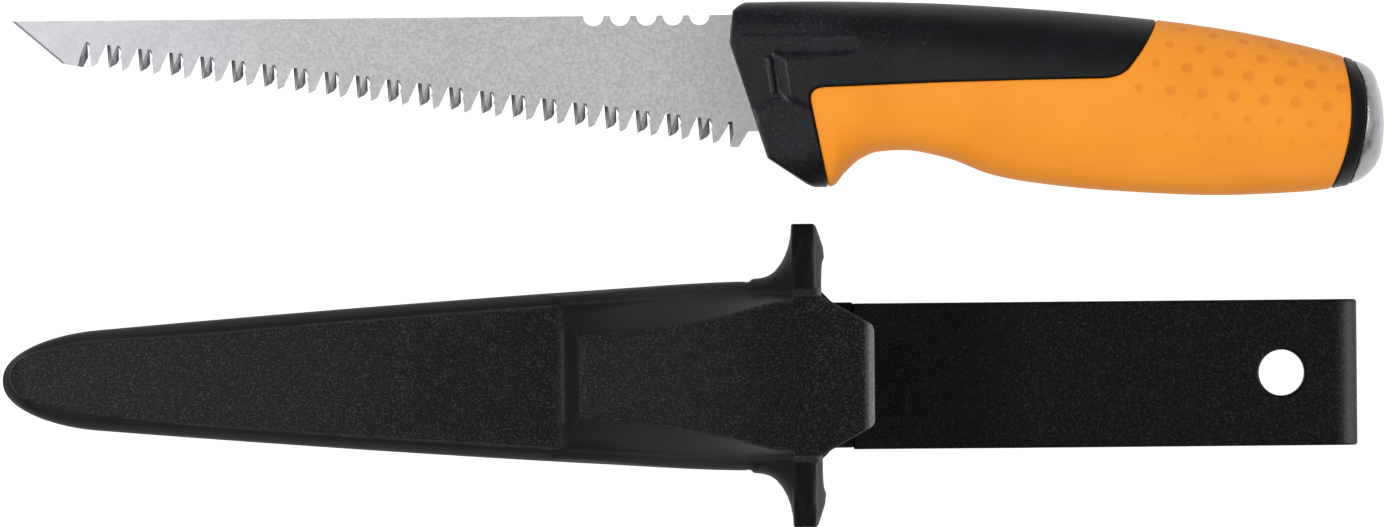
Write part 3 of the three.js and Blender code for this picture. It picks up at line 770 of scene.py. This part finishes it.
def sheath_whole(x, y, z):
    shell = both(sheath_outside(x, y, z), x - MOUTH_X, 0.6)
    shell = either(shell, flange(x, y, z), 2.0)
    shell = either(shell, root_tab(x, y, z), 0.3)
    shell = without(shell, cavity(x, y, z), 0.7)
    shell = without(shell, edge_nicks(x, y, z), 0.3)
    shell = either(shell, tongue(x, y, z), 0.3)
    return np.maximum(np.maximum(shell, 0.01 - z), WING_END_Y - y)


def parting(x, z):
    """Height above the surface where the two shells meet."""
    slope = (PARTING_MOUTH - PARTING_TIP) / (MOUTH_X - TIP_X)
    return (z - (PARTING_TIP + slope * (x - TIP_X))) / math.hypot(1, slope)


def sheath_front(x, y, z):
    return both(sheath_whole(x, y, z), GAP / 2 - parting(x, z), 0.3)


def sheath_back(x, y, z):
    return both(sheath_whole(x, y, z), parting(x, z) + GAP / 2, 0.3)


FLANGE_LINE = (SHEATH_ORIGIN[0] + WING_FRONT) * MM


def painted_highlight(x, y, z):
    """Painted highlight: a lighter colour on the tongue's end chamfer and a thin lighter line on
    the step before the boss, where these edges catch light.
    """
    end = step_up(x, 15.2, 15.5)
    step = (1 - step_up(np.abs(x - BOSS_FOOT_X - 0.15), 0.1, 0.35)) * (z > body_height(x) - 0.6)
    return np.maximum(end, 0.4 * step * (np.abs(from_axis(x, y)) < 9.5))


def grained(x, y, z):
    """Where the mould is grained: the flat faces, not the rims and flanks."""
    plateau = (rim(x, y) < 0.1) & (z > body_height(x) - 0.3) & (x < BOSS_FOOT_X)
    panel = (z > boss_height(x) - 0.35) | (x > WING_FRONT)
    return plateau | panel & (np.abs(from_axis(x, y)) < 17.5)


STRAP_END_X = 115.4
STRAP_HALF_WIDTH = 14.95
STRAP_AXIS_Y = -0.3
STRAP_LEG = 2.2
STRAP_HEIGHT = 9.4
STRAP_JOIN_X = 17.0
STRAP_OPEN_X = 48.0
HOLE = (99.9, -0.3, 4.7)


def belt_strap(x, y, z):
    """A strip folded back on itself into a flat loop."""
    round_x = STRAP_END_X - STRAP_HEIGHT / 2
    rise = step_up(x, STRAP_JOIN_X, STRAP_OPEN_X)
    top = MOUTH_FLOOR + (STRAP_HEIGHT - MOUTH_FLOOR) * rise
    middle = top / 2
    past = np.maximum(x - round_x, 0)
    loop = np.hypot(past, z - middle) - middle
    outer = np.where(x > round_x, loop, np.abs(z - middle) - middle)
    open_half = np.maximum(middle - STRAP_LEG, -0.2)
    hollow = np.where(x > round_x, np.hypot(past, z - middle), np.abs(z - middle)) - open_half
    strip = without(outer, hollow)
    strip = both(strip, np.abs(y - STRAP_AXIS_Y) - STRAP_HALF_WIDTH, 0.6)
    strip = both(strip, HINGE_X + 0.01 - x, 0.15)
    hole = np.hypot(x - HOLE[0], y - HOLE[1]) - HOLE[2]
    return without(strip, hole, 0.6)


def everywhere(x, y, z):
    return x < FAR


def make_sheath():
    xs = ticks(-162.6, 0.4, -157, 0.75, -50, 0.42, 17.4)

    def inner(x, y, z):
        return (sheath_outside(x, y, z) < -HIDDEN_DEPTH_SHEATH) & (x < CLOSED_TO_X)

    ys = ticks(-31.6, 0.45, 31.6)
    # the front shell carries the grain mark and the painted highlight mark
    front = grow("sheath_front_shell", SHEATH_ORIGIN, grow_body(
        sheath_front, (xs, ys, ticks(4, 0.42, 27)), inner,
    ), marks={"grain": grained, "painted_highlight": painted_highlight})
    back = grow("sheath_back_shell", SHEATH_ORIGIN, grow_body(
        sheath_back, (xs, ys, ticks(-0.6, 0.42, 15.2)), inner,
    ))
    strap_xs = ticks(11.5, 0.5, 36, 1.1, 94, 0.33, 105.8, 0.5, 116)
    strap = grow("belt_loop_strap", SHEATH_ORIGIN, grow_body(
        belt_strap, (strap_xs, ticks(-15.9, 0.5, 15.3), ticks(-0.5, 0.36, 10)),
    ), marks={"grain": everywhere})
    return {"sheath_front": front, "sheath_back": back, "belt_strap": strap}


# ------------------------------------------------------------------- materials


class Look:
    """A node material with a few helpers to write its tree in order."""

    def __init__(self, name):
        self.material = bpy.data.materials.new(name)
        self.material.use_nodes = True
        self.tree = self.material.node_tree
        self.shader = self.tree.nodes["Principled BSDF"]
        self.place = self.add("ShaderNodeTexCoord").outputs["Object"]

    def add(self, kind, **settings):
        node = self.tree.nodes.new(kind)
        for key, value in settings.items():
            setattr(node, key, value)
        return node

    def link(self, source, target):
        self.tree.links.new(source, target)

    def noise(self, size_mm, detail=2.0, rough=0.5):
        node = self.add("ShaderNodeTexNoise")
        node.inputs["Scale"].default_value = 1000 / size_mm
        node.inputs["Detail"].default_value = detail
        node.inputs["Roughness"].default_value = rough
        self.link(self.place, node.inputs["Vector"])
        return node.outputs["Fac"]

    def ramp(self, value, low, high, out_low=0.0, out_high=1.0):
        node = self.add("ShaderNodeMapRange", interpolation_type="SMOOTHSTEP")
        self.link(value, node.inputs["Value"])
        limits = {"From Min": low, "From Max": high, "To Min": out_low, "To Max": out_high}
        for key, number in limits.items():
            node.inputs[key].default_value = number
        return node.outputs["Result"]

    def math(self, how, a, b):
        node = self.add("ShaderNodeMath", operation=how)
        for socket, value in zip(node.inputs, (a, b)):
            if isinstance(value, (int, float)):
                socket.default_value = value
            else:
                self.link(value, socket)
        return node.outputs[0]

    def mix(self, share, first, second):
        """Mixes two colours, or a colour and a socket."""
        node = self.add("ShaderNodeMix", data_type="RGBA")
        # 0 is the share, 6 and 7 are the two colours
        sockets = (node.inputs[0], node.inputs[6], node.inputs[7])
        for socket, value in zip(sockets, (share, first, second)):
            if isinstance(value, tuple):
                socket.default_value = (*value, 1)
            elif isinstance(value, (int, float)):
                socket.default_value = value
            else:
                self.link(value, socket)
        return node.outputs[2]

    def bump(self, height, depth_mm, strength=1.0, below=None):
        node = self.add("ShaderNodeBump")
        node.inputs["Strength"].default_value = strength
        node.inputs["Distance"].default_value = depth_mm * MM
        self.link(height, node.inputs["Height"])
        if below is not None:
            self.link(below, node.inputs["Normal"])
        return node.outputs["Normal"]

    def mark(self, name):
        return self.add("ShaderNodeAttribute", attribute_name=name).outputs["Fac"]

    def along(self, axis):
        node = self.add("ShaderNodeSeparateXYZ")
        self.link(self.place, node.inputs[0])
        return node.outputs[axis]

    def facing(self, axis):
        """How far the surface itself faces an axis."""
        coordinates = self.add("ShaderNodeTexCoord")
        node = self.add("ShaderNodeSeparateXYZ")
        self.link(coordinates.outputs["Normal"], node.inputs[0])
        return node.outputs[axis]

    def set(self, **values):
        names = {
            "roughness": "Roughness", "metallic": "Metallic", "specular": "Specular IOR Level",
        }
        for key, value in values.items():
            self.shader.inputs[names[key]].default_value = value

    def feed(self, **sockets):
        names = {"colour": "Base Color", "roughness": "Roughness", "normal": "Normal"}
        for key, socket in sockets.items():
            self.link(socket, self.shader.inputs[names[key]])


def srgb(r, g, b):
    """A colour from its 0-255 screen values."""
    def linear(value):
        value /= 255
        return value / 12.92 if value <= 0.04045 else ((value + 0.055) / 1.055) ** 2.4
    return (linear(r), linear(g), linear(b))


def blade_look():
    """Blasted flat steel, with painted light that brightens it towards the tip and painted shade
    that darkens the ground facets of the teeth.
    """
    look = Look("blasted_blade_steel")
    look.set(metallic=1.0, specular=0.5)
    grain = look.noise(0.5, 3, 0.6)
    cloud = look.noise(9, 3, 0.5)
    # painted light: the flat steel's colour brightens towards the tip
    tip_x = cad_low[0] + 0.002
    towards_tip = look.ramp(look.along("X"), tip_x + 0.08, tip_x, 0, 1)
    flat = look.mix(towards_tip, srgb(222, 219, 219), srgb(246, 243, 252))
    flat = look.mix(look.ramp(cloud, 0.35, 0.65, 0, 0.2), flat, srgb(200, 199, 203))
    flat = look.mix(look.ramp(grain, 0.35, 0.7, 0, 0.4), flat, srgb(250, 250, 253))
    # painted shade: facets that turn away from the flat sides get a darker colour
    ground = look.ramp(look.math("ABSOLUTE", look.facing("Z"), 0.0), 0.985, 0.9, 0, 1)
    colour = look.mix(ground, flat, srgb(150, 149, 152))
    look.feed(
        colour=colour,
        roughness=look.ramp(grain, 0.3, 0.7, 0.42, 0.56),
        normal=look.bump(grain, 0.012, 0.6),
    )
    return look.material


def cap_look():
    """Tumbled satin steel."""
    look = Look("satin_cap_steel")
    look.set(metallic=1.0)
    fine = look.noise(0.35, 4, 0.65)
    patch = look.noise(3.2, 4, 0.6)
    colour = look.mix(look.ramp(patch, 0.3, 0.7, 0, 1), srgb(140, 139, 143), srgb(166, 165, 168))
    look.feed(
        colour=colour,
        roughness=look.ramp(patch, 0.3, 0.7, 0.2, 0.36),
        normal=look.bump(fine, 0.04, 0.6, look.bump(patch, 0.25, 0.5)),
    )
    return look.material


def fixing_look():
    look = Look("zinc_plated_steel")
    look.set(metallic=1.0)
    fine = look.noise(0.4, 3)
    look.feed(
        colour=look.mix(look.ramp(fine, 0.3, 0.7), srgb(168, 168, 162), srgb(196, 195, 186)),
        roughness=look.ramp(fine, 0.3, 0.7, 0.3, 0.45),
        normal=look.bump(fine, 0.02, 0.4),
    )
    return look.material


def core_look():
    """Hard black handle plastic with a fine moulded grain."""
    look = Look("handle_core_plastic")
    look.set(specular=0.2)
    grain = look.noise(0.55, 3, 0.7)
    cloud = look.noise(7, 3, 0.5)
    dark = look.mix(look.ramp(cloud, 0.35, 0.65), srgb(13, 15, 19), srgb(20, 22, 27))
    front = look.ramp(look.along("X"), SAW_ORIGIN[0] * MM + 0.06, SAW_ORIGIN[0] * MM + 0.015)
    speck = look.math("MULTIPLY", look.ramp(grain, 0.52, 0.72), look.ramp(front, 0, 1, 0.25, 1))
    colour = look.mix(speck, dark, srgb(52, 54, 58))
    look.feed(
        colour=colour,
        roughness=look.ramp(grain, 0.3, 0.7, 0.42, 0.52),
        normal=look.bump(grain, 0.07, 0.8),
    )
    return look.material


def ring_look():
    look = Look("butt_ring_plastic")
    look.set(specular=0.3)
    grain = look.noise(0.35, 2, 0.5)
    colour = look.mix(look.ramp(grain, 0.4, 0.75), srgb(17, 17, 19), srgb(27, 27, 29))
    look.feed(
        colour=colour,
        roughness=look.ramp(grain, 0.3, 0.7, 0.4, 0.52),
        normal=look.bump(grain, 0.02, 0.5),
    )
    return look.material


def grip_look():
    """Soft orange overmould, matt, with a very fine texture."""
    look = Look("soft_orange_grip")
    look.set(specular=0.35)
    grain = look.noise(0.25, 2, 0.6)
    cloud = look.noise(14, 3, 0.5)
    base = look.mix(look.ramp(cloud, 0.3, 0.7), srgb(252, 150, 24), srgb(255, 157, 30))
    colour = look.mix(look.ramp(grain, 0.5, 0.8, 0, 0.2), base, srgb(240, 136, 26))
    # painted shade: the dimple floors darkened
    colour = look.mix(look.math("MULTIPLY", look.mark("dimple"), 0.66), colour, srgb(236, 130, 18))
    look.feed(
        colour=colour,
        roughness=look.ramp(grain, 0.3, 0.7, 0.5, 0.66),
        normal=look.bump(grain, 0.02, 0.5),
    )
    return look.material


def sheath_look(name, dark_colours, speck_colour, specular):
    """Black moulded plastic: a dense grain on the faces, smooth on the rims, with painted
    highlight on a few edges.
    """
    look = Look(name)
    look.set(specular=specular)
    spots = look.noise(0.37, 3, 0.75)
    fine = look.noise(0.2, 2, 0.6)
    cloud = look.noise(18, 3, 0.5)
    grained = look.mark("grain")
    dark = look.mix(look.ramp(cloud, 0.35, 0.65), *dark_colours)
    # lighter specks on the grained faces: real moulded grain, partly painted glint
    speck = look.math("MULTIPLY", look.ramp(spots, 0.52, 0.65), grained)
    colour = look.mix(speck, dark, speck_colour)
    # painted highlight: the tongue's end chamfer and the step before the boss made lighter
    highlight_share = look.math("MULTIPLY", look.ramp(spots, 0.42, 0.6, 0.4, 1), look.mark("painted_highlight"))
    colour = look.mix(highlight_share, colour, srgb(90, 92, 92))
    # faint line where the mouth's flange begins
    off = look.math("ABSOLUTE", look.math("SUBTRACT", look.along("X"), FLANGE_LINE), 0.0)
    colour = look.mix(look.ramp(off, 0.2 * MM, 0.05 * MM, 0, 0.5), colour, srgb(4, 5, 6))
    height = look.math("MULTIPLY", spots, grained)
    look.feed(
        colour=colour,
        roughness=look.ramp(grained, 0, 1, 0.56, 0.5),
        normal=look.bump(height, 0.1, 0.8, look.bump(fine, 0.02, 0.5)),
    )
    return look.material


def dress(piece, material):
    piece.data.materials.clear()
    piece.data.materials.append(material)


# ----------------------------------------------------------------------- stage


def make_floor():
    bpy.ops.mesh.primitive_plane_add(size=8, location=(0, 0, 0))
    floor = bpy.context.active_object
    floor.name = "studio_floor"
    look = Look("pale_floor")
    look.set(specular=0.2, roughness=0.9)
    cloud = look.noise(400, 2)
    look.feed(colour=look.mix(look.ramp(cloud, 0.3, 0.7), (0.86, 0.86, 0.86), (0.88, 0.88, 0.88)))
    look.shader.inputs["Emission Color"].default_value = (1, 1, 1, 1)
    look.shader.inputs["Emission Strength"].default_value = 1.0
    dress(floor, look.material)
    floor.visible_diffuse = False


def softbox(name, at, target, size, watts, receivers=None):
    """An area light, for some pieces only if it names receivers."""
    data = bpy.data.lights.new(name, "AREA")
    data.shape = "RECTANGLE"
    data.size, data.size_y = size
    data.energy = watts
    lamp = bpy.data.objects.new(name, data)
    lamp.location = at
    lamp.rotation_euler = (Vector(target) - Vector(at)).to_track_quat("-Z", "Y").to_euler()
    lamp.visible_camera = False
    bpy.context.scene.collection.objects.link(lamp)
    if receivers:
        group = bpy.data.collections.new(name + "_receivers")
        for piece in receivers:
            group.objects.link(piece)
        lamp.light_linking.receiver_collection = group


OVERHEAD = (-0.2, 0.1, 2.0)
WIDE = (1.6, 1.6)
CENTRE = (0, 0, 0)
GRIP_MIDDLE = (0.05, 0.03, 0)
CAP_MIDDLE = (0.13, 0.03, 0)


def make_lights(core, ring, grip, blade, cap, sheath, strap):
    world = bpy.data.worlds.new("studio")
    bpy.context.scene.world = world
    world.use_nodes = True
    background = world.node_tree.nodes["Background"]
    background.inputs["Color"].default_value = (1, 1, 1, 1)
    background.inputs["Strength"].default_value = 0.2
    softbox("core_top", OVERHEAD, CENTRE, WIDE, 18, core + ring)
    softbox("core_key", (-1.4, 0.2, 0.35), (0, 0.03, 0.01), (0.6, 0.5), 21, core)
    softbox("grip_top", OVERHEAD, CENTRE, WIDE, 21.5, grip)
    softbox("grip_key", (-0.9, 0.5, 1.2), GRIP_MIDDLE, (0.8, 0.8), 3, grip)
    softbox("grip_back", (0.2, 1.4, 0.8), GRIP_MIDDLE, (1.2, 1.0), 7, grip)
    softbox("grip_front", (0.3, -1.4, 0.6), GRIP_MIDDLE, (1.2, 1.0), 9, grip)
    softbox("steel_key", (-1.3, 0.35, 0.95), (0, 0.02, 0), (1.0, 1.0), 13, blade + cap)
    softbox("blade_key", (-1.1, 0.2, 2.1), (-0.12, 0.04, 0.014), (0.8, 0.8), 10.5, blade)
    softbox("blade_side", (1.3, -0.4, 0.8), (-0.08, 0.03, 0.014), (1.2, 1.0), 8, blade)
    softbox("blade_low", (-0.9, -1.2, 0.8), (-0.12, 0.03, 0.014), (0.8, 0.8), 5, blade)
    softbox("cap_top", (0.4, 0.1, 1.8), CAP_MIDDLE, (1.4, 1.4), 5.5, cap)
    softbox("cap_side", (1.5, 0.05, 0.9), CAP_MIDDLE, (1.6, 1.5), 6.5, cap)
    softbox("cap_spark", (1.0, 0.05, 1.3), CAP_MIDDLE, (0.2, 0.25), 3.6, cap)
    softbox("sheath_top", OVERHEAD, CENTRE, WIDE, 1.5, sheath)
    softbox("sheath_key", (1.4, -0.2, 0.22), (0, -0.02, 0), (0.6, 0.35), 4, sheath)
    softbox("sheath_graze", (1.2, -0.02, 0.1), (0, -0.02, 0.02), (1.0, 0.14), 22, sheath)
    softbox("sheath_tip", (-0.25, -0.03, 0.24), (-0.14, -0.02, 0), (0.2, 0.2), 0.47, sheath)
    softbox("sheath_back_side", (0, 1.3, 0.45), (0, 0, 0), (1.2, 0.5), 10, sheath)
    softbox("sheath_near_side", (0, -1.3, 0.45), (0, 0, 0), (1.2, 0.5), 8.5, sheath)
    softbox("strap_top", OVERHEAD, CENTRE, WIDE, 6.5, strap)
    softbox("strap_key", (1.4, -0.2, 0.3), (0, -0.02, 0), (0.6, 0.5), 30, strap)


def make_camera():
    data = bpy.data.cameras.new("camera")
    data.type = "PERSP"
    data.lens = 620
    data.sensor_width = 36
    data.clip_start, data.clip_end = 1, 30
    camera = bpy.data.objects.new("camera", data)
    camera.location = (-0.00015, 0.00039, 4.8859)
    camera.rotation_euler = (0, 0, math.radians(-0.53))
    bpy.context.scene.collection.objects.link(camera)
    bpy.context.scene.camera = camera


# ------------------------------------------------------------------------ make

make_camera()
make_floor()
bpy.context.scene.view_settings.view_transform = "Standard"

LOOKS = {
    "blade_steel": blade_look(), "cap_steel": cap_look(), "fixing_steel": fixing_look(),
    "core_plastic": core_look(), "grip_rubber": grip_look(),
    "sheath_plastic": sheath_look(
        "sheath_plastic", (srgb(3, 4, 5), srgb(6, 7, 8)), srgb(60, 62, 62), 0.19,
    ),
}
OWN_LOOKS = {     # pieces that look a little different from the rest of their slot
    "belt_strap": sheath_look(
        "strap_plastic", (srgb(2, 3, 5), srgb(4, 5, 8)), srgb(46, 47, 53), 0.15,
    ),
    "butt_ring": ring_look(),
}
SLOTS = {
    "core_left": "core_plastic", "core_right": "core_plastic", "grip_sleeve": "grip_rubber",
    "butt_ring": "core_plastic", "strike_cap": "cap_steel", "sheath_front": "sheath_plastic",
    "sheath_back": "sheath_plastic", "belt_strap": "sheath_plastic",
}
FIXINGS = ("tang_pin_1", "tang_pin_2", "tang_pin_3", "cap_stud", "cap_nut")
BODIES = {"sheath_front": "sheath", "sheath_back": "sheath", "belt_strap": "strap"}

grown = {**make_handle(), **make_sheath()}
for node, piece in grown.items():
    dress(piece, OWN_LOOKS.get(node, LOOKS[SLOTS[node]]))
    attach(piece, BODIES.get(node, "saw"))
    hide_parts(node)

dress(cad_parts["blade"], LOOKS["blade_steel"])
for node in FIXINGS:
    dress(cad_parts[node], LOOKS["fixing_steel"])

fixings = [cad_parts[node] for node in FIXINGS]
make_lights(
    core=[grown["core_left"], grown["core_right"]],
    ring=[grown["butt_ring"]],
    grip=[grown["grip_sleeve"]],
    blade=[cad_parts["blade"]] + fixings,
    cap=[grown["strike_cap"]],
    sheath=[grown["sheath_front"], grown["sheath_back"]],
    strap=[grown["belt_strap"]],
)
